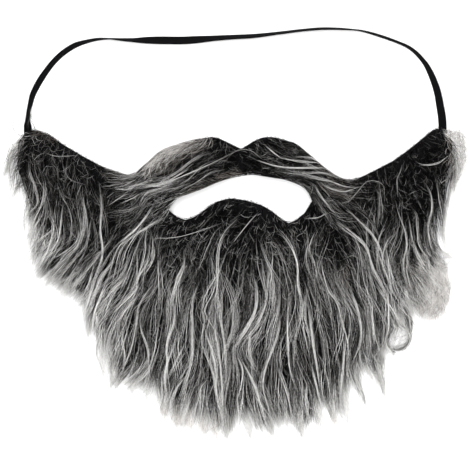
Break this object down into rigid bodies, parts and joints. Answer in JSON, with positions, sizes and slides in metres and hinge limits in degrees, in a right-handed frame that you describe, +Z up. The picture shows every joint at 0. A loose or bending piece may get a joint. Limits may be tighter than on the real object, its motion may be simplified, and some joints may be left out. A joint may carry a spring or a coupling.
{
  "type": "fake beard",
  "caption": "Costume beard with joined moustache in long grey fake fur, open at the mouth, on a flat elastic strap that goes round the back of the head. It lies face up.",
  "frame": {"origin": "on the surface that the beard lies on, under the middle of the fur's bounding box", "axes": "+X across the face, from the wearer's right ear tab to the left one; +Y from the chin's tips towards the moustache and the strap; +Z up out of the face of the fur"},
  "size_m": [0.289, 0.258, 0.0139],
  "materials": {
    "grey_fur": "long-pile fake fur, near-black undercoat under wavy grey and white strands, on black knitted backing",
    "dark_fur": "the same fake fur with a darker, shorter pile",
    "black_elastic": "flat black woven elastic with fine lengthwise ribs"
  },
  "bodies": {
    "root": {"beard_fur": "grey_fur", "moustache_fur": "dark_fur", "elastic_strap": "black_elastic"}
  },
  "joints": []
}
